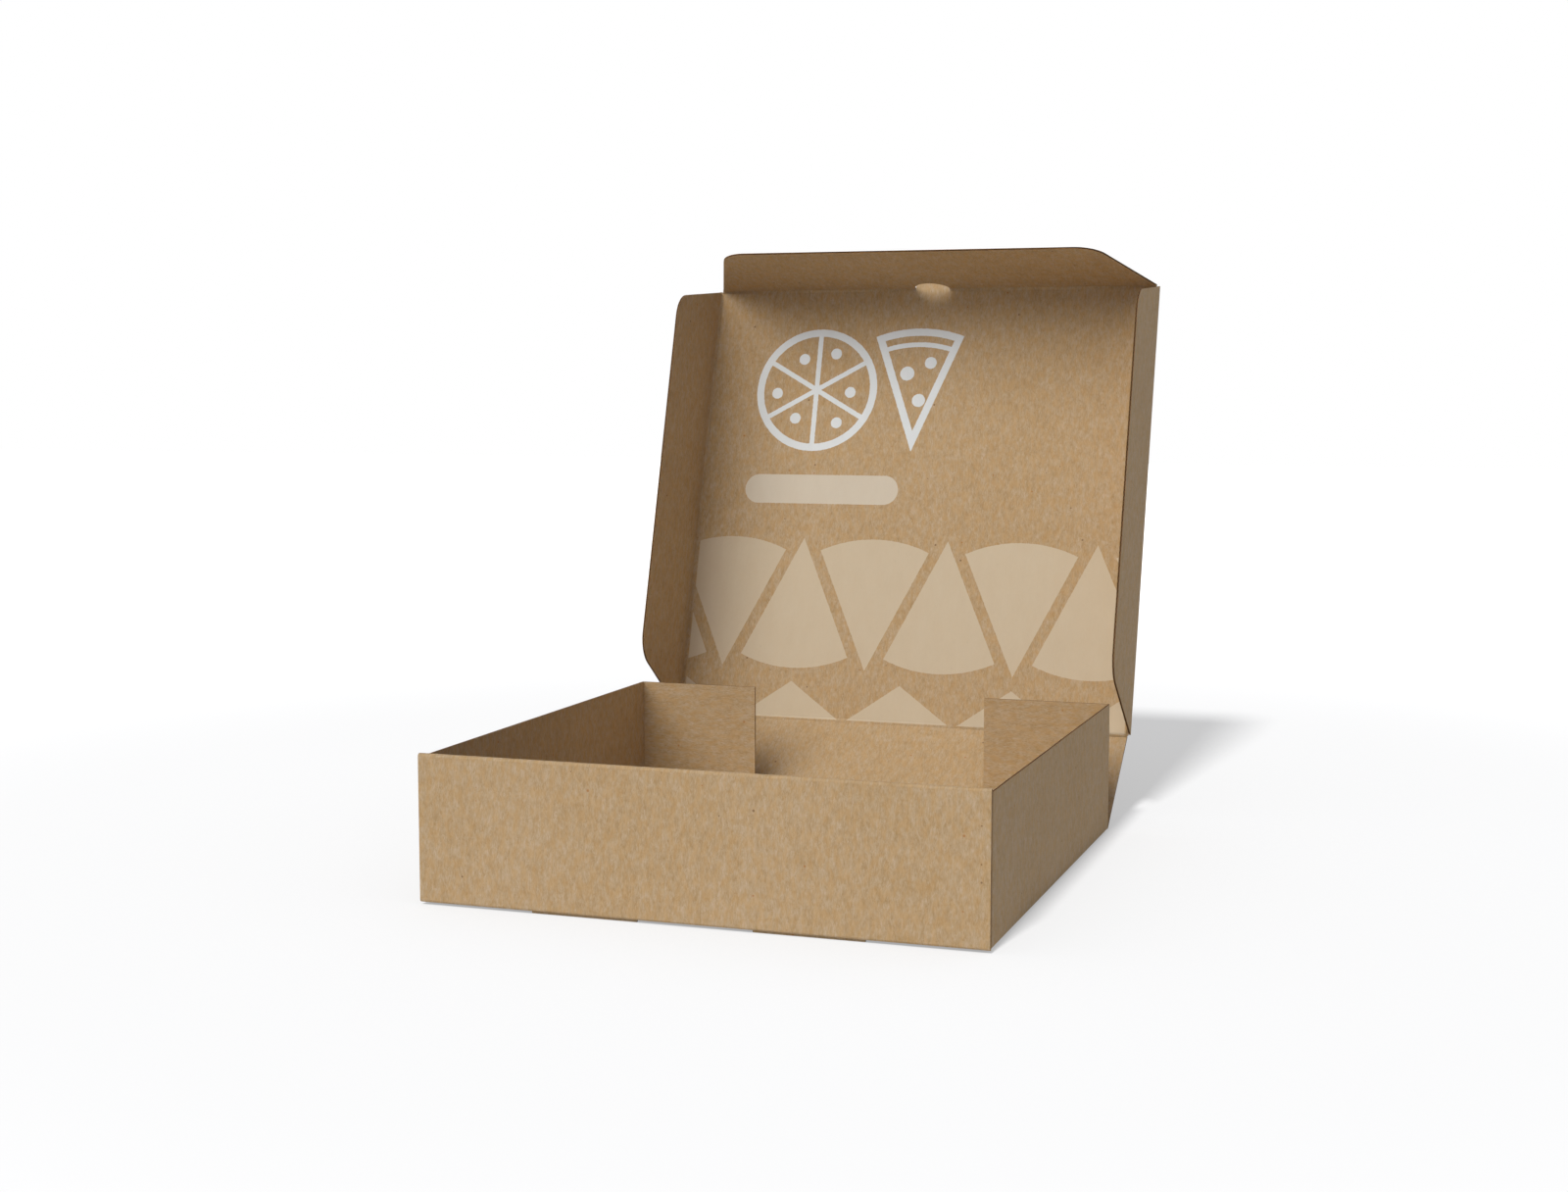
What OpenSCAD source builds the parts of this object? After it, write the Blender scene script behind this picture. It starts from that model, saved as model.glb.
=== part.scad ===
// Open pizza box, folded from one sheet of kraft corrugated board.
// Origin on the table under the middle of the tray, front wall towards -Y.
// The sheet is split into nodes only at the creases that move.

/* [Board] */
// Thickness of the fluted board
board_t = 1.2; // [0.8:0.1:1.6]
// Inside radius of a fixed fold
fold_r = 0.4; // [0.2:0.1:0.8]
// Free width of a scored crease between two moving panels
crease_gap = 0.3; // [0.2:0.05:0.5]

/* [Tray] */
// Width over the side walls
tray_w = 308.6; // [240:0.2:400]
// Depth from the front face to the rear face of the closed box
tray_d = 306.8; // [240:0.2:400]
// Height of the front wall above the underside of the base
front_h = 79.4; // [50:0.2:110]
// Air between the layers of the double front wall
layer_gap = 0.15; // [0.1:0.05:0.3]
// Air above the side walls' front tabs, under the rolled top of the front wall
roll_gap = 0.7; // [0.3:0.1:1.5]
// Clearance round the inner front panel and under the folded tabs
panel_gap = 0.4; // [0.3:0.1:0.8]
// Length of the side walls' front tabs inside the front wall
front_tab_l = 78; // [40:1:110]
// Length of the dust flaps folded in from the side walls' rear edges
dust_flap_l = 78.6; // [40:0.2:110]

/* [Front locks] */
// Width of each lock tab of the inner front panel
lock_w = 59; // [30:1:90]
// Distance from the middle of the box to the middle of a lock tab
lock_x = 61; // [50:1:80]
// Length of the lock tabs below the base
lock_drop = 1.4; // [0.8:0.1:3]
// Clearance between a lock tab and its slot
slot_gap = 0.15; // [0.1:0.05:0.4]

/* [Lid] */
// Air between the closed lid and the front wall
lid_gap = 0.3; // [0.2:0.05:0.6]
// Air between a closed flap and the wall beside it
flap_gap = 0.3; // [0.2:0.05:0.6]
// Depth of the tuck flap
tuck_h = 77; // [40:0.5:78]
// Depth of the side flaps
flap_h = 76.5; // [40:0.5:78]
// Slant of the flap ends from square, in degrees
taper = 20; // [5:1:30]
// Corner radius of the tuck flap
tuck_r = 20; // [5:1:30]
// Corner radius of the side flaps
flap_r = 20; // [5:1:30]
// Inset of the tuck flap's crease from the side flaps
tuck_inset = 1; // [0.8:0.1:4]
// Inset of the rear wall's ends from the tray's sides
rear_inset = 0.5; // [0.3:0.1:3]

/* [Finger tab] */
// Radius of the half-moon tab cut from the tuck flap
moon_r = 12; // [6:0.5:20]
// Clearance between the half-moon tab and its hole
moon_gap = 0.3; // [0.2:0.05:0.6]

/* [Opening as it stands] */
// Angle of the rear wall above the table
rear_angle = 36.4; // [0:0.1:90]
// Fold of the lid from the rear wall's plane
lid_angle = 37.15; // [0:0.05:90]
// Fold of the tuck flap from the lid's plane
tuck_angle = 90.5; // [0:0.5:120]
// Fold of the side flaps from the lid's plane
flap_angle = 90; // [0:0.5:90]

/* [Hidden] */
kraft = "#b89b76";
kraft_inner = "#a98b68";
fold_steps = 6;
corner_steps = 16;
round_fn = 48;
small = 0.01;

// Outer radius and centre-line radius of a fixed fold
fold_out = fold_r + board_t;
fold_mid = fold_r + board_t / 2;

// Table, base and wall heights
base_z = lock_drop;
base_top = base_z + board_t;
front_top = base_z + front_h;
side_top = front_top - board_t - roll_gap;

// Front wall layers, from the front face inwards
front_y = -tray_d / 2;
tab_y = front_y + board_t + layer_gap;
inner_y = tab_y + board_t + layer_gap;
front_in = inner_y + board_t;

// Half widths
side_x = tray_w / 2;
inner_x = side_x - board_t - panel_gap;

// Moving creases: a bead on the axis, and the neighbour's rounded edge one pitch away
bead_r = board_t / 2;
crease_pitch = board_t + crease_gap;
rear_axis_y = tray_d / 2 - board_t / 2;
rear_axis_z = base_z + board_t / 2;
rear_len = front_h + lid_gap;
lid_len = rear_axis_y - front_in - flap_gap - board_t / 2;
flap_axis_x = side_x + flap_gap + board_t / 2;
lid_x = flap_axis_x - crease_pitch;
rear_x = side_x - rear_inset;
tuck_x = flap_axis_x - board_t / 2 - tuck_inset;
dust_y = rear_axis_y - crease_pitch + bead_r;

// Points of an arc about c from angle a0 to a1
function arc(c, r, a0, a1) =
    [for (k = [0:corner_steps]) let (a = a0 + (a1 - a0) * k / corner_steps) c + r * [cos(a), sin(a)]];

// Centre line of a folded strip: straight runs joined by bends, as [point, direction]
function trace(runs, turns, pos, dir, i = 0) =
    let (
        p = pos + runs[i] * [cos(dir), sin(dir)],
        straight = [[pos, dir], [p, dir]]
    )
    i >= len(turns) ? straight :
    let (
        s = sign(turns[i]),
        c = p + s * fold_mid * [-sin(dir), cos(dir)],
        bend = [for (k = [1:fold_steps - 1]) bend_point(c, s, dir + turns[i] * k / fold_steps)],
        next = bend_point(c, s, dir + turns[i])
    )
    concat(straight, bend, trace(runs, turns, next[0], next[1], i + 1));

function bend_point(c, s, a) = [c + s * fold_mid * [sin(a), -cos(a)], a];

function offset_side(line, d) = [for (q = line) q[0] + d * [-sin(q[1]), cos(q[1])]];

function reversed(list) = [for (i = [len(list) - 1:-1:0]) list[i]];

// Outline of a strip of board that follows a traced centre line
function strip(line) =
    concat(offset_side(line, board_t / 2), reversed(offset_side(line, -board_t / 2)));

// Outline of a flap: crease from x0 to x1, slanted ends, two rounded free corners
function flap_outline(x0, x1, h, r) =
    let (
        inset = h * tan(taper),
        a = x0 + inset,
        b = x1 - inset,
        t = r * tan((90 - taper) / 2)
    )
    concat(
        [[x0, 0], [x1, 0]],
        arc([b - t, h - r], r, taper, 90),
        arc([a + t, h - r], r, 90, 180 - taper)
    );

// Extrudes a (y, z) section along X, centred, to a full width w
module along_x(w) {
    translate([-w / 2, 0, 0])
        rotate([90, 0, 90])
            linear_extrude(w)
                children();
}

// Extrudes an (x, z) section along Y from y0 to y1
module along_y(y0, y1) {
    translate([0, y1, 0])
        rotate([90, 0, 0])
            linear_extrude(y1 - y0)
                children();
}

// Rounded board edge that lies along X, half width x
module bead_x(x) {
    translate([-x, 0, 0])
        rotate([0, 90, 0])
            cylinder(r = bead_r, h = 2 * x, $fn = round_fn);
}

// Rounded board edge that lies along Y from y0 to y1
module bead_y(y0, y1) {
    translate([0, y0, 0])
        rotate([-90, 0, 0])
            cylinder(r = bead_r, h = y1 - y0, $fn = round_fn);
}

// Flat panel from x = -x to x, from y0 to y1, centred on its own plane
module panel(x, y0, y1) {
    translate([-x, y0, -board_t / 2])
        cube([2 * x, y1 - y0, board_t]);
}

// Base with the slots that take the lock tabs, and its rounded rear edge
module base() {
    rear_edge = rear_axis_y - crease_pitch;
    difference() {
        union() {
            translate([0, 0, rear_axis_z]) {
                panel(side_x - fold_out, front_y + fold_out, rear_edge);
                translate([0, rear_edge, 0])
                    bead_x(side_x - fold_out);
            }
        }
        for (s = [-1, 1])
            translate([s * lock_x - lock_w / 2 - slot_gap, inner_y - slot_gap, base_z - 1])
                cube([lock_w + 2 * slot_gap, board_t + 2 * slot_gap, board_t + 2]);
    }
}

// Outer front wall, from the base fold up and over to the rolled top
module outer_front() {
    top_run = front_in - front_y - 2 * fold_out;
    line = trace(
        [small, front_h - 2 * fold_out, top_run],
        [-90, -90],
        [front_y + fold_out + small, rear_axis_z],
        180
    );
    along_x(tray_w)
        polygon(strip(line));
}

// Inner front panel: rolled top, second fold and the panel with its lock tabs
module inner_front() {
    top_run = front_in - front_y - 2 * fold_out;
    line = trace(
        [top_run, front_top - fold_out],
        [-90],
        [front_y + fold_out, front_top - board_t / 2],
        0
    );
    cut_z = base_top + layer_gap;
    gap_x = lock_x - lock_w / 2;
    end_x = lock_x + lock_w / 2;
    difference() {
        along_x(2 * inner_x)
            polygon(strip(line));
        translate([-gap_x, inner_y - 1, -1])
            cube([2 * gap_x, board_t + 2, cut_z + 1]);
        for (s = [-1, 1])
            translate([s > 0 ? end_x : -side_x, inner_y - 1, -1])
                cube([side_x - end_x, board_t + 2, cut_z + 1]);
    }
}

// Right side wall with its base fold, its front tab and its rear dust flap
module side_wall() {
    wall_run = dust_y - tab_y - 2 * fold_out;
    fold = trace(
        [small, side_top - base_z - fold_out],
        [90],
        [side_x - fold_out - small, rear_axis_z],
        0
    );
    plan = trace(
        [front_tab_l - fold_out, wall_run, dust_flap_l - fold_out],
        [90, 90],
        [side_x - front_tab_l, tab_y + board_t / 2],
        0
    );
    hem = base_top + panel_gap;
    along_y(tab_y + fold_out, dust_y - fold_out)
        polygon(strip(fold));
    translate([0, 0, hem])
        linear_extrude(side_top - hem)
            polygon(strip(plan));
}

// Tray as it is locked up: base, double front wall, side walls and dust flaps
module tray() {
    color(kraft)
        union() {
            base();
            outer_front();
            inner_front();
            side_wall();
            mirror([1, 0, 0])
                side_wall();
        }
}

// Places its children in the rear wall's frame: Y up the wall from its crease, Z inwards
module at_rear_wall() {
    translate([0, rear_axis_y, rear_axis_z])
        rotate([rear_angle, 0, 0])
            children();
}

// Places its children in the lid's frame: Y from its crease to the tuck flap, Z inwards
module at_lid() {
    at_rear_wall()
        translate([0, rear_len, 0])
            rotate([lid_angle, 0, 0])
                children();
}

// Rear wall between the base crease and the lid crease
module rear_wall() {
    color(kraft)
        at_rear_wall() {
            bead_x(rear_x);
            panel(rear_x, 0, rear_len - crease_pitch);
            translate([0, rear_len - crease_pitch, 0])
                bead_x(rear_x);
        }
}

// Lid with the half-moon finger tab that stands in its plane past the tuck crease
module lid() {
    edge = lid_len - crease_pitch;
    color(kraft_inner)
        at_lid() {
            bead_x(lid_x);
            panel(lid_x, 0, edge);
            translate([0, edge, 0])
                bead_x(lid_x);
            for (s = [-1, 1])
                translate([s * lid_x, 0, 0])
                    bead_y(0, edge);
            panel(moon_r, edge, lid_len);
            intersection() {
                translate([0, lid_len, -board_t / 2])
                    cylinder(r = moon_r, h = board_t, $fn = 2 * round_fn);
                panel(moon_r, lid_len, lid_len + moon_r);
            }
        }
}

// Tuck flap with the half-moon hole on its crease
module tuck_flap() {
    color(kraft_inner)
        at_lid()
            translate([0, lid_len, 0])
                rotate([tuck_angle, 0, 0])
                    difference() {
                        union() {
                            bead_x(tuck_x);
                            translate([0, 0, -board_t / 2])
                                linear_extrude(board_t)
                                    polygon(flap_outline(-tuck_x, tuck_x, tuck_h, tuck_r));
                        }
                        translate([0, 0, -board_t])
                            cylinder(r = moon_r + moon_gap, h = 2 * board_t, $fn = 2 * round_fn);
                    }
}

// Right side flap of the lid, folded from the lid's side crease
module side_flap() {
    y0 = bead_r;
    y1 = lid_len - crease_pitch + bead_r;
    translate([flap_axis_x, 0, 0])
        rotate([0, -flap_angle, 0]) {
            bead_y(y0, y1);
            translate([0, 0, -board_t / 2])
                linear_extrude(board_t)
                    mirror([1, -1, 0])
                        polygon(flap_outline(y0, y1, flap_h, flap_r));
        }
}

module side_flap_right() {
    color(kraft)
        at_lid()
            side_flap();
}

module side_flap_left() {
    color(kraft)
        at_lid()
            mirror([1, 0, 0])
                side_flap();
}

tray();
rear_wall();
lid();
tuck_flap();
side_flap_left();
side_flap_right();
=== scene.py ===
"""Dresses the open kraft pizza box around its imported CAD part.

Lengths are in millimetres, as in the part's source, and MM turns them into metres.
"""

import math

import bmesh
import bpy
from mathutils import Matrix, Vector


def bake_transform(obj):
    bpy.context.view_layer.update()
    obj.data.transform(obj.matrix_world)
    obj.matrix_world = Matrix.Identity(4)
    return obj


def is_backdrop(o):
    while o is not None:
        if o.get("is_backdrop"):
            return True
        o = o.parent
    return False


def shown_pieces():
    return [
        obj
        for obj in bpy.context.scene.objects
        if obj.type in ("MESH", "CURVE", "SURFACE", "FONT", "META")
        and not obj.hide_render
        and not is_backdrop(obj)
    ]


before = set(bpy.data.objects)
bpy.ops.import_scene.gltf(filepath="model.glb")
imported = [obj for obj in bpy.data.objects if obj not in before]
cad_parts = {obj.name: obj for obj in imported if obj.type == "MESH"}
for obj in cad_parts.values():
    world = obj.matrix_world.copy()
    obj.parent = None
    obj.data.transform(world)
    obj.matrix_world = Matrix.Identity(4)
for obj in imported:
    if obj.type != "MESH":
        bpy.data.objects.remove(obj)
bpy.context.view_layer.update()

MM = 0.001
RIGHT, BACK, UP = Vector((1, 0, 0)), Vector((0, 1, 0)), Vector((0, 0, 1))

# Board and creases
BOARD = 1.2
BEAD_R = 0.65

# Tray
SIDE_X = 154.3
SIDE_IN = 152.75
FRONT_Y = -153.4
FRONT_LENGTH = 79.4
ROLL_RUN = 83.3
TAB_Y = -151.45
INNER_Y = -150.1
OUTER_IN, INNER_OUT, INNER_IN = -152.1, -150.8, -149.4
BASE_Z = 1.4
FRONT_TOP = 80.8
ROLL_TALL = 1.7
HEM_Z = 3.0
HEM_SLACK = 0.1
DUST_Y = 151.3
DUST_IN = 150.5
SLOT_REACH, TAB_REACH, DUST_REACH = 140, 100, 80

# Rear wall, lid and flaps
REAR_AXIS = Vector((0, 152.8, 2.0))
REAR_ANGLE = 36.4
REAR_LENGTH = 79.7
REAR_HALF = 153.8
LID_ANGLE = REAR_ANGLE + 37.15
LID_LENGTH = 301.4
TUCK_ANGLE = LID_ANGLE + 90.5
TUCK_HALF = 153.6
FLAP_X = 155.2
FLAP_LOW, FLAP_HIGH = 0.6, 300.5
MOON_R = 12.3
MOON_CUT_HALF = 12.2
MOON_CUT_RUN = 1.2

# A face counts as facing a way when its normal leans at least this much towards it
FACING = 0.5
END_ON = 0.9

# Where pieces that aren't joined on one straight sheet start on it
FRONT_TAB_SHEET = (400, 0)
SIDE_SHEET, SIDE_SHEET_STEP = 900, 200
DUST_SHEET = (1500, 0)
OUTSIDE_SHIFT = 2000
ALONG_FLUTE = 0.02


def up_the_sheet(angle):
    """Direction along a panel that leans back from the table at this angle."""
    return Vector((0, math.cos(math.radians(angle)), math.sin(math.radians(angle))))


REAR_UP = up_the_sheet(REAR_ANGLE)
LID_UP = up_the_sheet(LID_ANGLE)
TUCK_OUT = up_the_sheet(TUCK_ANGLE)
REAR_IN = up_the_sheet(REAR_ANGLE + 90)
LID_IN = up_the_sheet(LID_ANGLE + 90)
TUCK_IN = up_the_sheet(TUCK_ANGLE + 90)
LID_AXIS = REAR_AXIS + REAR_LENGTH * REAR_UP
TUCK_AXIS = LID_AXIS + LID_LENGTH * LID_UP


# Panels of the folded sheet


class Panel:
    """One flat panel: its middle plane, and its part of the unfolded sheet."""

    def __init__(self, origin, across, along, outside, sheet_at=(0, 0), is_cut=None):
        self.origin = Vector(origin)
        self.across, self.along, self.outside = across, along, outside
        self.sheet_at = sheet_at
        self.is_cut = is_cut or (lambda place, facing: False)

    def local(self, point):
        """Across, along and towards the outside, from the panel's origin."""
        step = point - self.origin
        return step.dot(self.across), step.dot(self.along), step.dot(self.outside)

    def on_sheet(self, point, shift):
        """Place on the unfolded sheet, where the outside's paper lies shifted."""
        u, v, _ = self.local(point)
        return u + self.sheet_at[0] + shift, v + self.sheet_at[1]

    def on_cut(self, point, facing):
        """Run along a cut edge, and height through the board from 0 to 1."""
        u, v, h = self.local(point)
        crosses_flutes = abs(facing.dot(self.across)) > abs(facing.dot(self.along))
        run = v if crosses_flutes else u * ALONG_FLUTE
        return run, h / BOARD + 0.5


def faces(facing, way):
    """Whether a face looks along this way or against it."""
    return abs(facing.dot(way)) > FACING


BASE = Panel(
    (0, 0, BASE_Z + BOARD / 2),
    RIGHT,
    BACK,
    -UP,
    is_cut=lambda at, facing: not faces(facing, UP)
    and abs(at.x) < SLOT_REACH
    and at.y < 0,
)
OUTER_FRONT = Panel(
    (0, FRONT_Y + BOARD / 2, BASE_Z),
    RIGHT,
    -UP,
    -BACK,
    (0, FRONT_Y),
    lambda at, facing: faces(facing, RIGHT),
)
FRONT_ROLL = Panel(
    (0, FRONT_Y, FRONT_TOP - BOARD / 2),
    RIGHT,
    -BACK,
    UP,
    (0, FRONT_Y - FRONT_LENGTH),
    lambda at, facing: faces(facing, RIGHT),
)
INNER_FRONT = Panel(
    (0, INNER_Y, FRONT_TOP),
    RIGHT,
    UP,
    BACK,
    (0, FRONT_Y - ROLL_RUN),
    lambda at, facing: faces(facing, RIGHT) or facing.z < -FACING,
)
FRONT_TAB = Panel(
    (0, TAB_Y, 0),
    RIGHT,
    UP,
    -BACK,
    FRONT_TAB_SHEET,
    lambda at, facing: faces(facing, UP)
    or (faces(facing, RIGHT) and abs(at.x) < TAB_REACH),
)


def side_wall(side):
    """The side wall on the left, -1, or on the right, 1."""
    return Panel(
        (side * (SIDE_X - BOARD / 2), 0, BASE_Z),
        BACK,
        UP,
        side * RIGHT,
        (SIDE_SHEET + SIDE_SHEET_STEP * side, 0),
        lambda at, facing: (faces(facing, UP) and at.z > HEM_Z - HEM_SLACK)
        or (faces(facing, BACK) and at.z < HEM_Z),
    )


SIDE_WALLS = {-1: side_wall(-1), 1: side_wall(1)}
DUST_FLAP = Panel(
    (0, DUST_Y, 0),
    UP,
    RIGHT,
    BACK,
    DUST_SHEET,
    lambda at, facing: faces(facing, UP)
    or (faces(facing, RIGHT) and abs(at.x) < DUST_REACH),
)


def tray_panel(at):
    """The panel of the tray that a face in this place belongs to."""
    if at.y < INNER_IN:
        if at.z > FRONT_TOP - ROLL_TALL:
            return FRONT_ROLL
        if at.y > INNER_OUT:
            return INNER_FRONT
        return OUTER_FRONT if at.y < OUTER_IN else FRONT_TAB
    if at.z > HEM_Z - HEM_SLACK and at.y > DUST_IN:
        return DUST_FLAP
    if abs(at.x) > SIDE_IN:
        return SIDE_WALLS[1 if at.x > 0 else -1]
    return BASE


REAR_WALL = Panel(
    REAR_AXIS,
    RIGHT,
    REAR_UP,
    -REAR_IN,
    (0, -REAR_LENGTH),
    lambda at, facing: faces(facing, RIGHT),
)
LID = Panel(
    LID_AXIS,
    RIGHT,
    LID_UP,
    -LID_IN,
    (0, 0),
    lambda at, facing: not faces(facing, LID_IN)
    and abs(at.x) < MOON_CUT_HALF
    and (at - LID_AXIS).dot(LID_UP) > LID_LENGTH - MOON_CUT_RUN,
)
TUCK = Panel(
    TUCK_AXIS,
    RIGHT,
    TUCK_OUT,
    -TUCK_IN,
    (0, LID_LENGTH),
    lambda at, facing: not faces(facing, TUCK_IN)
    and ((at - TUCK_AXIS).dot(TUCK_OUT) > BEAD_R or abs(facing.x) > END_ON),
)


def side_flap(side):
    """The lid's side flap on the left, -1, or on the right, 1."""

    def is_cut(at, facing):
        past_bead = (at - LID_AXIS).dot(LID_IN) > BEAD_R
        at_end = abs(facing.dot(LID_UP)) > END_ON
        return not faces(facing, RIGHT) and (past_bead or at_end)

    return Panel(
        LID_AXIS + side * FLAP_X * RIGHT,
        side * LID_IN,
        LID_UP,
        side * RIGHT,
        (side * FLAP_X, 0),
        is_cut,
    )


NODE_PANEL = {
    "rear_wall": REAR_WALL,
    "lid": LID,
    "tuck_flap": TUCK,
    "side_flap_left": side_flap(-1),
    "side_flap_right": side_flap(1),
}


# Sums in a node tree


class Sum:
    """A number in a node tree, so that patterns can be written as plain sums."""

    def __init__(self, tree, socket):
        self.tree, self.socket = tree, socket

    def of(self, operation, *others):
        """The result of a math node on this number and the others."""
        node = self.tree.nodes.new("ShaderNodeMath")
        node.operation = operation
        join(self.tree, node.inputs[0], self)
        for slot, other in enumerate(others, 1):
            join(self.tree, node.inputs[slot], other)
        return Sum(self.tree, node.outputs[0])

    def __add__(self, other):
        return self.of("ADD", other)

    def __sub__(self, other):
        return self.of("SUBTRACT", other)

    def __mul__(self, other):
        return self.of("MULTIPLY", other)

    def __truediv__(self, other):
        return self.of("DIVIDE", other)

    def __abs__(self):
        return self.of("ABSOLUTE")

    def low(self, other):
        return self.of("MINIMUM", other)

    def high(self, other):
        return self.of("MAXIMUM", other)

    def wrapped(self, pitch):
        """Distance from the nearest of a row of middles, a pitch apart."""
        return self.of("PINGPONG", pitch / 2)

    def ramp(self, start, end, low=0.0, high=1.0):
        """Smooth step from low at start to high at end."""
        node = self.tree.nodes.new("ShaderNodeMapRange")
        node.interpolation_type = "SMOOTHSTEP"
        join(self.tree, node.inputs["Value"], self)
        for name, number in zip(
            ("From Min", "From Max", "To Min", "To Max"), (start, end, low, high)
        ):
            node.inputs[name].default_value = number
        return Sum(self.tree, node.outputs["Result"])


def join(tree, socket, value):
    """Feeds a socket from a Sum, another socket or a plain value."""
    if isinstance(value, Sum):
        value = value.socket
    if isinstance(value, bpy.types.NodeSocket):
        tree.links.new(value, socket)
    else:
        socket.default_value = value


def place(tree, kind, settings=None, **inputs):
    """A node with its settings, and its inputs by name with _ for a space."""
    node = tree.nodes.new(kind)
    for name, value in (settings or {}).items():
        setattr(node, name, value)
    for name, value in inputs.items():
        join(tree, node.inputs[name.replace("_", " ")], value)
    return node


def length(x, y):
    """How far a place lies from the origin."""
    return (x * x + y * y).of("SQRT")


def blend_colour(tree, factor, low, high):
    """The low colour at factor 0, the high one at 1."""
    node = place(tree, "ShaderNodeMix", {"data_type": "RGBA"})
    join(tree, node.inputs[0], factor)
    join(tree, node.inputs[6], low)
    join(tree, node.inputs[7], high)
    return node.outputs[2]


def scaled(tree, vector, x, y, turn=0.0, shift=0.0):
    """The sheet's place in units of x by y millimetres, turned by some degrees."""
    node = place(
        tree,
        "ShaderNodeMapping",
        {"vector_type": "TEXTURE"},
        Vector=vector,
        Location=(shift * MM, -shift * MM, 0),
        Rotation=(0, 0, math.radians(turn)),
        Scale=(x * MM, y * MM, 1),
    )
    return node.outputs["Vector"]


def noise(tree, vector, detail=2.0, roughness=0.5):
    """Flat noise from 0 to 1, with its middle at 0.5."""
    node = place(
        tree,
        "ShaderNodeTexNoise",
        {"noise_dimensions": "2D"},
        Vector=vector,
        Scale=1.0,
        Detail=detail,
        Roughness=roughness,
    )
    return Sum(tree, node.outputs["Fac"])


def group(name, inputs, outputs):
    """An empty shader group with named sockets, each given as (name, kind, default)."""
    tree = bpy.data.node_groups.new(name, "ShaderNodeTree")
    for names, way in ((inputs, "INPUT"), (outputs, "OUTPUT")):
        for socket_name, kind, *default in names:
            socket = tree.interface.new_socket(
                name=socket_name, in_out=way, socket_type="NodeSocket" + kind
            )
            if default:
                socket.default_value = default[0]
    return tree, tree.nodes.new("NodeGroupInput"), tree.nodes.new("NodeGroupOutput")


def use(tree, shared, **inputs):
    """A shared effect in a material."""
    return place(tree, "ShaderNodeGroup", {"node_tree": shared}, **inputs)


def seen_directly(tree):
    """1 for what the camera sees, straight or in a mirror or through glass, else 0."""
    path = place(tree, "ShaderNodeLightPath")
    return (
        Sum(tree, path.outputs["Is Camera Ray"])
        .high(path.outputs["Is Glossy Ray"])
        .high(path.outputs["Is Transmission Ray"])
    )


def srgb(red, green, blue):
    """A colour from its 0 to 255 screen values."""

    def line(value):
        value /= 255
        return value / 12.92 if value <= 0.04045 else ((value + 0.055) / 1.055) ** 2.4

    return line(red), line(green), line(blue), 1.0


# Shared effects

PALE_PAPER, DARK_PAPER = srgb(198, 180, 156), srgb(170, 143, 102)
WARM_PAPER = srgb(194, 158, 108)
DARK_BARK, LIGHT_BARK = srgb(112, 86, 60), srgb(172, 116, 62)
SPECK_PITCH = 9
SPECK_SHARE = 0.93
SPECK_SMALL, SPECK_LARGE = 0.035, 0.08
SPECK_DEPTH = 0.7
MOST_WARMTH = 0.42
HAIR_HALF = 0.035


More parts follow.
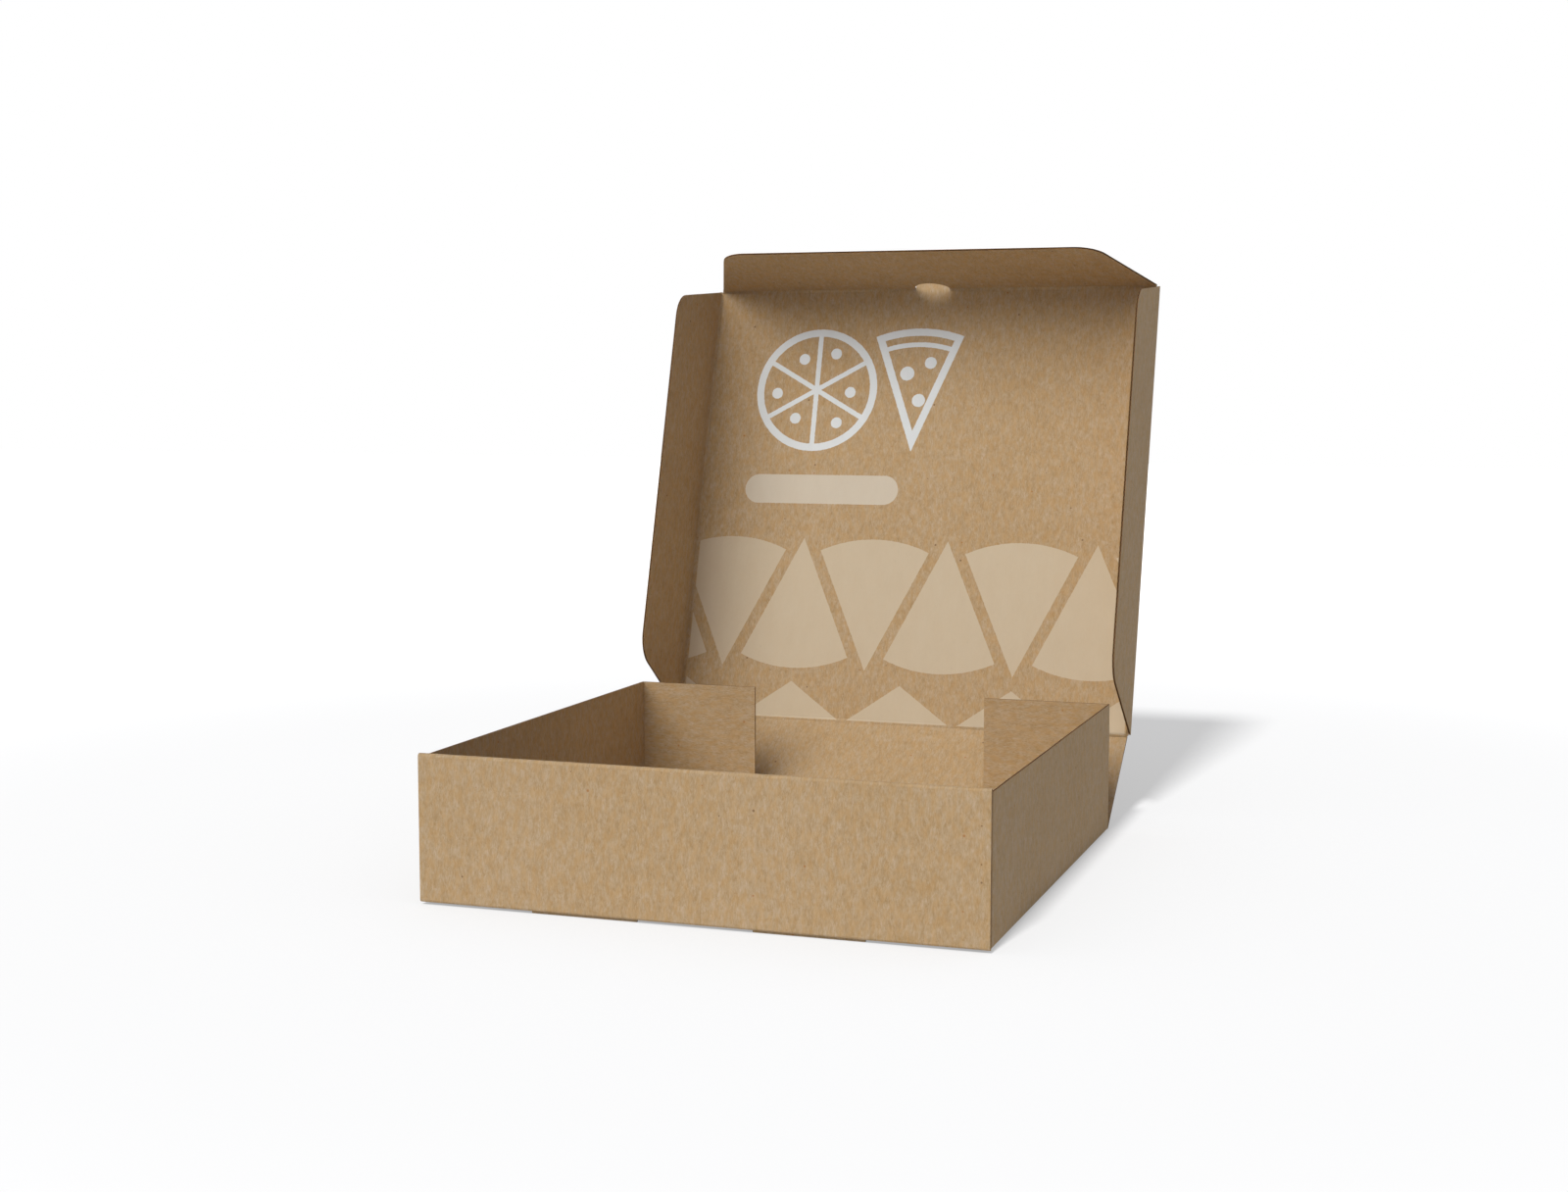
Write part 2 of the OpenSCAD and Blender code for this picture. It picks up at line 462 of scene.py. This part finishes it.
def kraft_paper():
    """Colour, roughness and height of kraft paper whose fibres run up the sheet."""
    tree, given, out = group(
        "kraft paper",
        [
            ("Sheet", "Vector"),
            ("Pale Colour", "Color", PALE_PAPER),
            ("Dark Colour", "Color", DARK_PAPER),
            ("Warm Colour", "Color", WARM_PAPER),
            ("Contrast", "Float", 1.0),
        ],
        [("Colour", "Color"), ("Roughness", "Float"), ("Height", "Float")],
    )
    sheet = given.outputs["Sheet"]

    def streaks(x, y, turn, shift, detail=3.0):
        return noise(tree, scaled(tree, sheet, x, y, turn, shift), detail, 0.6)

    drift = streaks(70, 110, 0, 31, 1.0)
    cloud = streaks(8, 15, 6, 211, 2.0)
    grain = streaks(2.6, 6.5, -3, 77, 2.0)
    tooth = streaks(1.0, 2.6, 4, 401, 2.0)
    tint = streaks(3.2, 7.5, 5, 951, 2.0)

    # Single fibres lie up the sheet, a little askew both ways
    def fibres(x, y, turn, shift, level):
        return streaks(x, y, turn, shift, 1.0).ramp(level, level + 0.09)

    pale = fibres(0.55, 6.0, 9, 500, 0.62).high(fibres(0.5, 4.4, -15, 620, 0.64))
    dark = fibres(0.5, 5.5, -6, 740, 0.61).high(fibres(0.45, 3.6, 18, 860, 0.63))

    # Loose hairs wander and break off
    def hairs(x, y, turn, shift):
        line = abs(streaks(x, y, turn, shift, 1.0) - 0.5).ramp(HAIR_HALF, 0.0)
        return line * streaks(5, 7, 0, shift + 90, 1.0).ramp(0.45, 0.6)

    pale_hair = hairs(2.2, 5.0, 12, 1010)
    dark_hair = hairs(2.0, 4.4, -9, 1230)
    strength = Sum(tree, given.outputs["Contrast"])
    tone = (
        ((drift - 0.5) * 0.2 + (cloud - 0.5) * 0.45 + (grain - 0.5) * 0.8)
        + ((tooth - 0.5) * 0.8 + pale * 0.22 - dark * 0.28)
        + (pale_hair * 0.25 - dark_hair * 0.35)
    ) * strength + 0.5
    plain = blend_colour(
        tree, tone, given.outputs["Dark Colour"], given.outputs["Pale Colour"]
    )
    warmth = tint.ramp(0.36, 0.7, 0.0, MOST_WARMTH)
    colour = blend_colour(tree, warmth, plain, given.outputs["Warm Colour"])

    # Specks of bark and old print, each cell with one at most
    specks = place(
        tree,
        "ShaderNodeTexVoronoi",
        {"voronoi_dimensions": "2D"},
        Vector=scaled(tree, sheet, SPECK_PITCH, SPECK_PITCH, 0, 35),
        Scale=1.0,
    )
    chance = place(tree, "ShaderNodeSeparateColor", Color=specks.outputs["Color"])
    near = Sum(tree, specks.outputs["Distance"])
    first, second = (Sum(tree, chance.outputs[n]) for n in range(2))
    size = first.ramp(SPECK_SHARE, 1.0, SPECK_SMALL, SPECK_LARGE)
    there = first.ramp(SPECK_SHARE, SPECK_SHARE + 0.01)
    speck = (size - near).ramp(-0.012, 0.018) * there
    is_light = second.ramp(0.5, 0.55)
    bark = blend_colour(tree, is_light, DARK_BARK, LIGHT_BARK)
    final = blend_colour(tree, speck * SPECK_DEPTH, colour, bark)

    join(tree, out.inputs["Colour"], final)
    join(tree, out.inputs["Roughness"], (grain - 0.5) * 0.16 - pale * 0.08 + 0.84)
    join(
        tree,
        out.inputs["Height"],
        tooth * 0.35 + grain * 0.45 + cloud * 0.2 + pale * 0.5 - dark * 0.3,
    )
    return tree


PRINT_SIDE = 151.8
SLICE_LOW, SLICE_TALL, SLICE_PITCH, SLICE_HALF = 34.0, 90.0, 50.6, 25.0
PEAK_TALL, PEAK_HALF, PEAK_PITCH = 25.0, 35.0, 75.9
PILL_LEFT, PILL_RIGHT, PILL_LOW, PILL_HIGH = -122.3, -12.5, 148.1, 168.4
PILL_WHITE = 0.2
WHEEL_AT, WHEEL_R = (-77.0, 228.8), 43.5
NEAR_DOTS, FAR_DOTS, DOT_R = (24.5, -4), (28.5, 5), 3.9
WEDGE_AT, WEDGE_TALL, WEDGE_HALF = (-6.0, 185.5), 87.0, 21
WEDGE_DOTS = ((-7.0, 55.0, 5.0), (9.0, 62.5, 4.2), (2.5, 36.0, 4.6))
CRUST = 11.5
BOLD_HALF, LINE_HALF = 2.6, 1.7
INK_SOFT = 0.15


def lid_print():
    """Masks of the pale and the white ink on the inside of the lid."""
    tree, given, out = group(
        "lid print",
        [("Sheet", "Vector")],
        [("Pale Ink", "Float"), ("White Ink", "Float")],
    )
    parts = place(tree, "ShaderNodeSeparateXYZ", Vector=given.outputs["Sheet"])
    u = Sum(tree, parts.outputs["X"]) / MM
    v = Sum(tree, parts.outputs["Y"]) / MM

    def wedge(x, y, half_angle, radius):
        """Distance outside a slice whose point is at the origin, crust upwards."""
        turn = math.radians(half_angle)
        sides = abs(x) * math.cos(turn) - y * math.sin(turn)
        return sides.high(length(x, y) - radius)

    def bar(x, y, half_x, half_y, radius):
        """Distance outside a bar with round corners."""
        dx = (abs(x) - (half_x - radius)).high(0.0)
        dy = (abs(y) - (half_y - radius)).high(0.0)
        return length(dx, dy) - radius

    # A row of slices that point down and up by turns
    rise = v - SLICE_LOW
    down = wedge(
        (u + SLICE_PITCH / 2).wrapped(2 * SLICE_PITCH), rise, SLICE_HALF, SLICE_TALL
    )
    up = wedge(
        (u - SLICE_PITCH / 2).wrapped(2 * SLICE_PITCH),
        rise * -1 + SLICE_TALL,
        SLICE_HALF,
        SLICE_TALL,
    )
    # Low peaks that stand on the crease
    slant = math.hypot(PEAK_TALL, PEAK_HALF)
    peaks = (
        u.wrapped(PEAK_PITCH) * (PEAK_TALL / slant)
        + v * (PEAK_HALF / slant)
        - PEAK_TALL * PEAK_HALF / slant
    )
    band = down.low(up).low(peaks).high(abs(u) - PRINT_SIDE).high(v * -1)
    pill_half = (PILL_HIGH - PILL_LOW) / 2
    pill = bar(
        u - (PILL_LEFT + PILL_RIGHT) / 2,
        v - (PILL_LOW + PILL_HIGH) / 2,
        (PILL_RIGHT - PILL_LEFT) / 2,
        pill_half,
        pill_half,
    )

    # A whole pie cut in six beside a single slice, in white lines
    x, y = u - WHEEL_AT[0], v - WHEEL_AT[1]
    from_middle = length(x, y)
    rim = abs(from_middle - (WHEEL_R - BOLD_HALF)) - BOLD_HALF
    cuts = None
    for turn in (0, 60, 120):
        lean = math.radians(turn)
        cut = abs(x * math.cos(lean) + y * math.sin(lean)) - LINE_HALF
        cuts = cut if cuts is None else cuts.low(cut)
    wheel = rim.low(cuts.high(from_middle - WHEEL_R))
    for turn in range(6):
        reach, askew = FAR_DOTS if turn % 2 else NEAR_DOTS
        lean = math.radians(60 * turn + askew)
        dot = length(x - reach * math.cos(lean), y - reach * math.sin(lean))
        wheel = wheel.low(dot - DOT_R)
    x, y = u - WEDGE_AT[0], v - WEDGE_AT[1]
    whole = wedge(x, y, WEDGE_HALF, WEDGE_TALL)
    outline = abs(whole + BOLD_HALF) - BOLD_HALF
    crust = abs(length(x, y) - (WEDGE_TALL - CRUST)) - LINE_HALF
    slice_lines = outline.low(crust.high(whole))
    for dx, dy, radius in WEDGE_DOTS:
        slice_lines = slice_lines.low(length(x - dx, y - dy) - radius)

    # Ink edges waver a little on the rough paper
    rough = noise(tree, scaled(tree, given.outputs["Sheet"], 1.6, 2.4), 2.0)
    waver = (rough - 0.5) * 0.5

    def inked(distance):
        return (distance + waver).ramp(INK_SOFT, -INK_SOFT)

    join(tree, out.inputs["Pale Ink"], inked(band.low(pill)))
    white = inked(wheel.low(slice_lines)).high(inked(pill) * PILL_WHITE)
    join(tree, out.inputs["White Ink"], white)
    return tree


FLUTE_PITCH = 3.2
FLUTE_SWING = 0.30
# The last cut colour is painted shade for the gaps between the liners and the flute.
CUT_DARK, CUT_PALE, HOLLOW_SHADE = srgb(112, 80, 46), srgb(160, 122, 78), srgb(58, 39, 22)


def cut_board():
    """Colour, roughness and height of a cut through fluted board, by run and height."""
    tree, given, out = group(
        "cut board",
        [("Cut", "Vector"), ("Flute Pitch", "Float", FLUTE_PITCH)],
        [("Colour", "Color"), ("Roughness", "Float"), ("Height", "Float")],
    )
    parts = place(tree, "ShaderNodeSeparateXYZ", Vector=given.outputs["Cut"])
    run = Sum(tree, parts.outputs["X"]) / MM
    rise = Sum(tree, parts.outputs["Y"]) / MM
    wander = noise(tree, scaled(tree, given.outputs["Cut"], 3, 3), 2.0)
    wave = (
        (run / given.outputs["Flute Pitch"]) * math.tau + (wander - 0.5) * 1.2
    ).of("SINE")
    from_flute = abs(rise - 0.5 - wave * FLUTE_SWING)
    flute = from_flute.ramp(0.13, 0.06)
    liner = abs(rise - 0.5).ramp(0.33, 0.37)
    paper = flute.high(liner)
    tooth = noise(tree, scaled(tree, given.outputs["Cut"], 0.4, 0.4), 3.0)
    paper_colour = blend_colour(tree, tooth, CUT_DARK, CUT_PALE)
    # The gaps between liners and flute take a dark painted shade colour, standing in
    # for the shade inside the flutes.
    colour = blend_colour(tree, paper, HOLLOW_SHADE, paper_colour)
    join(tree, out.inputs["Colour"], colour)
    join(tree, out.inputs["Roughness"], tooth * 0.1 + 0.85)
    join(tree, out.inputs["Height"], paper + tooth * 0.3)
    return tree


KRAFT_PAPER = kraft_paper()
LID_PRINT = lid_print()
CUT_BOARD = cut_board()


# Materials

PAPER_RELIEF, CUT_RELIEF = 0.03, 0.12
PALE_COVER, WHITE_COVER = 0.88, 0.94
PAPER_SHINE = 0.25
PALE_INKS = srgb(206, 193, 171), srgb(210, 199, 179)
WHITE_INKS = srgb(222, 232, 242), srgb(230, 240, 250)


def board_material(name):
    """A material with a Principled shader, and the sheet's own coordinates."""
    material = bpy.data.materials.new(name)
    material.use_nodes = True
    tree = material.node_tree
    tree.nodes.clear()
    sheet = place(tree, "ShaderNodeUVMap", {"uv_map": "sheet"}).outputs["UV"]
    shader = tree.nodes.new("ShaderNodeBsdfPrincipled")
    shader.inputs["Specular IOR Level"].default_value = PAPER_SHINE
    end = tree.nodes.new("ShaderNodeOutputMaterial")
    tree.links.new(shader.outputs["BSDF"], end.inputs["Surface"])
    return material, tree, sheet, shader


def finish_board(tree, shader, colour, roughness, height, depth):
    """Joins colour, roughness and a bump of this depth in millimetres to the shader."""
    bump = place(
        tree, "ShaderNodeBump", Strength=1.0, Distance=depth * MM, Height=height
    )
    join(tree, shader.inputs["Base Color"], colour)
    join(tree, shader.inputs["Roughness"], roughness)
    join(tree, shader.inputs["Normal"], bump.outputs["Normal"])


def kraft_liner():
    """Bare brown paper, in and out."""
    material, tree, sheet, shader = board_material("kraft liner")
    paper = use(tree, KRAFT_PAPER, Sheet=sheet, Contrast=1.0)
    finish_board(tree, shader, *(paper.outputs[n] for n in range(3)), PAPER_RELIEF)
    return material


def printed_liner():
    """The lid's inside: the same paper under pale and white ink."""
    material, tree, sheet, shader = board_material("printed liner")
    paper = use(tree, KRAFT_PAPER, Sheet=sheet, Contrast=1.0)
    ink = use(tree, LID_PRINT, Sheet=sheet)
    pale, white = (Sum(tree, ink.outputs[n]) for n in range(2))
    patchy = noise(tree, scaled(tree, sheet, 9, 22, 0, 90), 3.0)
    pale_tone = blend_colour(tree, patchy, *PALE_INKS)
    white_tone = blend_colour(tree, patchy, *WHITE_INKS)
    colour = blend_colour(tree, pale * PALE_COVER, paper.outputs["Colour"], pale_tone)
    colour = blend_colour(tree, white * WHITE_COVER, colour, white_tone)
    inked = pale.high(white)
    roughness = Sum(tree, paper.outputs["Roughness"]) - inked * 0.12
    height = Sum(tree, paper.outputs["Height"]) * (inked * -0.55 + 1.0) + inked * 0.35
    finish_board(tree, shader, colour, roughness, height, PAPER_RELIEF)
    return material


def cut_edge():
    """The board's cut edges, with liners and flutes."""
    material, tree, sheet, shader = board_material("fluted cut edge")
    cut = use(tree, CUT_BOARD, Cut=sheet, Flute_Pitch=FLUTE_PITCH)
    finish_board(tree, shader, *(cut.outputs[n] for n in range(3)), CUT_RELIEF)
    return material


LINER, PRINTED, EDGE = kraft_liner(), printed_liner(), cut_edge()


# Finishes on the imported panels

OUTSIDE_SLOT, INSIDE_SLOT, CUT_SLOT = 0, 1, 2


def dress(name, panel_at):
    """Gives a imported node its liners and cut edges, and its place on the sheet."""
    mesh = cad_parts[name].data
    mesh.materials.clear()
    inside = PRINTED if name == "lid" else LINER
    for material in (LINER, inside, EDGE):
        mesh.materials.append(material)
    sheet = mesh.uv_layers.new(name="sheet")
    for face in mesh.polygons:
        at = face.center / MM
        panel = panel_at(at)
        outwards = face.normal.dot(panel.outside) > 0
        cut = panel.is_cut(at, face.normal)
        liner = OUTSIDE_SLOT if outwards else INSIDE_SLOT
        face.material_index = CUT_SLOT if cut else liner
        for loop in face.loop_indices:
            point = mesh.vertices[mesh.loops[loop].vertex_index].co / MM
            if cut:
                u, v = panel.on_cut(point, face.normal)
            else:
                u, v = panel.on_sheet(point, OUTSIDE_SHIFT if outwards else 0)
            sheet.data[loop].uv = (u * MM, v * MM)


dress("tray", tray_panel)
for node_name, node_panel in NODE_PANEL.items():
    dress(node_name, lambda at, panel=node_panel: panel)


# Creased paper over the moving folds

SKIN = 0.635
SKIN_END = 0.61
SKIN_ON_PARENT = 2.3
SKIN_ON_CHILD = 1.2
THINS_AT = 0.8
ARC_STEPS = 10
INSET = 0.2
REAR_CREASE_HALF = 152.5


def crease(name, axis, run, ends, parent, child, sheet_at, inside_material):
    """The creased liners over a moving fold, as one closed sleeve round both edges.

    run is the way along the fold and ends the two ends on it. parent and child point
    from the axis into the two boards. sheet_at gives the sheet coordinates of a place
    from its distance along the fold and its distance past it, towards the child.
    """
    inner = (parent + child).normalized()

    def away(way):
        """The board's outside, square to it."""
        return (-inner + inner.dot(way) * way).normalized()

    out_parent, out_child = away(parent), away(child)
    turn = out_parent.angle(out_child)
    half = turn / 2
    thin_parent, thin_child = SKIN_ON_PARENT * THINS_AT, SKIN_ON_CHILD * THINS_AT
    path = [
        (parent * SKIN_ON_PARENT + out_parent * SKIN_END, -SKIN_ON_PARENT, True),
        (thin_parent * parent + out_parent * SKIN, -thin_parent, True),
    ]
    for step in range(ARC_STEPS + 1):
        share = step / ARC_STEPS
        way = out_parent.slerp(out_child, share)
        path.append((way * SKIN, (share - 0.5) * turn * SKIN, True))
    path += [
        (thin_child * child + out_child * SKIN, thin_child, True),
        (child * SKIN_ON_CHILD + out_child * SKIN_END, SKIN_ON_CHILD, True),
        (child * SKIN_ON_CHILD - out_child * SKIN_END, SKIN_ON_CHILD, False),
        (inner * SKIN / math.cos(half), 0.0, False),
        (parent * SKIN_ON_PARENT - out_parent * SKIN_END, -SKIN_ON_PARENT, False),
    ]
    count = len(path)
    points = [(axis + run * end + spot) * MM for end in ends for spot, _, _ in path]
    sides = [
        (k, (k + 1) % count, count + (k + 1) % count, count + k) for k in range(count)
    ]
    caps = [tuple(range(count))[::-1], tuple(range(count, 2 * count))]
    mesh = bpy.data.meshes.new(name)
    mesh.from_pydata(points, [], sides + caps)
    mesh.materials.append(LINER)
    mesh.materials.append(inside_material)
    sheet = mesh.uv_layers.new(name="sheet")
    for face in mesh.polygons:
        cap = face.index >= len(sides)
        shown_out = cap or (path[face.index][2] and path[(face.index + 1) % count][2])
        face.material_index = OUTSIDE_SLOT if shown_out else INSIDE_SLOT
        face.use_smooth = not cap
        for loop in face.loop_indices:
            index = mesh.loops[loop].vertex_index
            u, v = sheet_at(ends[index // count], path[index % count][1])
            shift = OUTSIDE_SHIFT if shown_out else 0
            sheet.data[loop].uv = ((u + shift) * MM, v * MM)
    mesh.validate()
    strip = bpy.data.objects.new(name, mesh)
    bpy.context.scene.collection.objects.link(strip)
    turn_out(mesh)
    (axis + out_parent * SKIN) * MM
    (axis + out_child * SKIN) * MM
    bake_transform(strip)


def turn_out(mesh):
    """Turns every face of a closed mesh outwards."""
    work = bmesh.new()
    work.from_mesh(mesh)
    bmesh.ops.recalc_face_normals(work, faces=work.faces)
    work.to_mesh(mesh)
    work.free()


crease(
    "rear_wall_crease",
    axis=REAR_AXIS,
    run=RIGHT,
    ends=(-REAR_CREASE_HALF, REAR_CREASE_HALF),
    parent=-BACK,
    child=REAR_UP,
    sheet_at=lambda along, past: (along, -REAR_LENGTH + past),
    inside_material=LINER,
)
crease(
    "lid_crease",
    axis=LID_AXIS,
    run=RIGHT,
    ends=(-REAR_HALF + INSET, REAR_HALF - INSET),
    parent=-REAR_UP,
    child=LID_UP,
    sheet_at=lambda along, past: (along, past),
    inside_material=PRINTED,
)
for side_name, run_ends in (
    ("left", (-TUCK_HALF + INSET, -MOON_R)),
    ("right", (MOON_R, TUCK_HALF - INSET)),
):
    crease(
        f"tuck_crease_{side_name}",
        axis=TUCK_AXIS,
        run=RIGHT,
        ends=run_ends,
        parent=-LID_UP,
        child=TUCK_OUT,
        sheet_at=lambda along, past: (along, LID_LENGTH + past),
        inside_material=LINER,
    )
for side_name, side in (("left", -1), ("right", 1)):
    crease(
        f"side_crease_{side_name}",
        axis=LID_AXIS + side * FLAP_X * RIGHT,
        run=LID_UP,
        ends=(FLAP_LOW + INSET, FLAP_HIGH - INSET),
        parent=-side * RIGHT,
        child=LID_IN,
        sheet_at=lambda along, past, side=side: (side * (FLAP_X + past), along),
        inside_material=LINER,
    )


# Floor, light and camera

FLOOR_HALF = 6000
FLOOR_MIDDLE_Y = 100
WHITE_NEAR, WHITE_FAR = 500, 1900
SHADOW_LIFT = 0.548
CLOSE_SHADE, CLOSE_REACH = 0.29, 1000
FLOOR_BOUNCE = (0.325, 0.302, 0.272, 1)
FLOOR_SEEN = (0.235, 0.235, 0.235, 1)
WHITE = (1, 1, 1, 1)
SKY_TINT = (0.95, 0.965, 1.07, 1)
SKY_LEVEL = 0.197
FRONT_SHARE = 1.83
KEY_LEFT = 24


def floor_material():
    """White floor that keeps the box's shadow, with painted shade near the box in its
    camera-only glow, and fades to plain white further off.
    """
    material = bpy.data.materials.new("white floor")
    material.use_nodes = True
    tree = material.node_tree
    tree.nodes.clear()
    where = place(tree, "ShaderNodeTexCoord").outputs["Object"]
    parts = place(tree, "ShaderNodeSeparateXYZ", Vector=where)
    x, y = Sum(tree, parts.outputs["X"]), Sum(tree, parts.outputs["Y"])
    glow_level = length(x, y - FLOOR_MIDDLE_Y * MM).ramp(
        WHITE_NEAR * MM, WHITE_FAR * MM, SHADOW_LIFT, 1.0
    )
    seen = seen_directly(tree)
    # The camera-only glow is dimmed near the box by ambient occlusion: painted shade
    # round the box.
    near_box = place(
        tree, "ShaderNodeAmbientOcclusion", {"samples": 4}, Distance=CLOSE_REACH * MM
    )
    open_share = Sum(tree, near_box.outputs["AO"]) * CLOSE_SHADE + (1 - CLOSE_SHADE)
    strength = seen * glow_level * open_share
    shade = blend_colour(tree, seen, FLOOR_BOUNCE, FLOOR_SEEN)
    matt = place(tree, "ShaderNodeBsdfDiffuse", Color=shade)
    glow = place(tree, "ShaderNodeEmission", Color=WHITE, Strength=strength)
    both = place(tree, "ShaderNodeAddShader")
    join(tree, both.inputs[0], matt.outputs[0])
    join(tree, both.inputs[1], glow.outputs[0])
    end = tree.nodes.new("ShaderNodeOutputMaterial")
    tree.links.new(both.outputs[0], end.inputs["Surface"])
    return material


floor_mesh = bpy.data.meshes.new("floor")
reach = FLOOR_HALF * MM
floor_mesh.from_pydata(
    [(-reach, -reach, 0), (reach, -reach, 0), (reach, reach, 0), (-reach, reach, 0)],
    [],
    [(0, 1, 2, 3)],
)
floor_mesh.materials.append(floor_material())
floor = bpy.data.objects.new("floor", floor_mesh)
bpy.context.scene.collection.objects.link(floor)
floor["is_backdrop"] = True


def studio_world(strength):
    """Soft light from all round, stronger from the key's side, seen as plain white."""
    world = bpy.data.worlds.new("studio")
    world.use_nodes = True
    tree = world.node_tree
    tree.nodes.clear()
    seen = seen_directly(tree)
    where = place(tree, "ShaderNodeTexCoord").outputs["Generated"]
    parts = place(tree, "ShaderNodeSeparateXYZ", Vector=where)
    towards = (
        Sum(tree, parts.outputs["X"]) * -math.sin(math.radians(KEY_LEFT))
        - Sum(tree, parts.outputs["Y"]) * math.cos(math.radians(KEY_LEFT))
    )
    unseen = towards.ramp(-0.15, 1.0, strength, FRONT_SHARE * strength)
    level = seen * (unseen * -1 + 1.0) + unseen
    tint = blend_colour(tree, seen, SKY_TINT, WHITE)
    sky = place(tree, "ShaderNodeBackground", Color=tint, Strength=level)
    end = tree.nodes.new("ShaderNodeOutputWorld")
    tree.links.new(sky.outputs[0], end.inputs["Surface"])
    bpy.context.scene.world = world


studio_world(SKY_LEVEL)


def lit_by(name, objects):
    """A collection of what a lamp lights."""
    collection = bpy.data.collections.new(name)
    for thing in objects:
        collection.objects.link(thing)
    return collection


def sun(name, strength, colour, left_of_front, height, spread, lights):
    """A soft lamp far off, by its angles left of the front and above the floor."""
    data = bpy.data.lights.new(name, "SUN")
    data.energy = strength
    data.color = colour
    data.angle = math.radians(spread)
    holder = bpy.data.objects.new(name, data)
    side, rise = math.radians(left_of_front), math.radians(height)
    way = Vector(
        (
            math.sin(side) * math.cos(rise),
            math.cos(side) * math.cos(rise),
            -math.sin(rise),
        )
    )
    holder.rotation_euler = way.to_track_quat("-Z", "Y").to_euler()
    holder.light_linking.receiver_collection = lights
    bpy.context.scene.collection.objects.link(holder)


box_parts = lit_by("box parts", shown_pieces())
floor_part = lit_by("floor part", [floor])
sun(
    "key",
    strength=2.22,
    colour=(1.0, 0.92, 0.795),
    left_of_front=KEY_LEFT,
    height=44.5,
    spread=50,
    lights=box_parts,
)
sun(
    "floor_light",
    strength=7.0,
    colour=(1.0, 1.0, 1.0),
    left_of_front=3.8,
    height=45.4,
    spread=7,
    lights=floor_part,
)

CAMERA_AT = (396.75, -1160.6, 275.9)
CAMERA_DOWN, CAMERA_LEFT = 0.0987, 0.3324
camera_data = bpy.data.cameras.new("camera")
camera_data.sensor_width = 36
camera_data.lens = 50.12
camera_data.clip_start = 0.01
camera_data.clip_end = 100
camera = bpy.data.objects.new("camera", camera_data)
camera.location = Vector(CAMERA_AT) * MM
camera.rotation_euler = (math.pi / 2 - CAMERA_DOWN, 0, CAMERA_LEFT)
bpy.context.scene.collection.objects.link(camera)
bpy.context.scene.camera = camera

bpy.context.scene.view_settings.view_transform = "Standard"
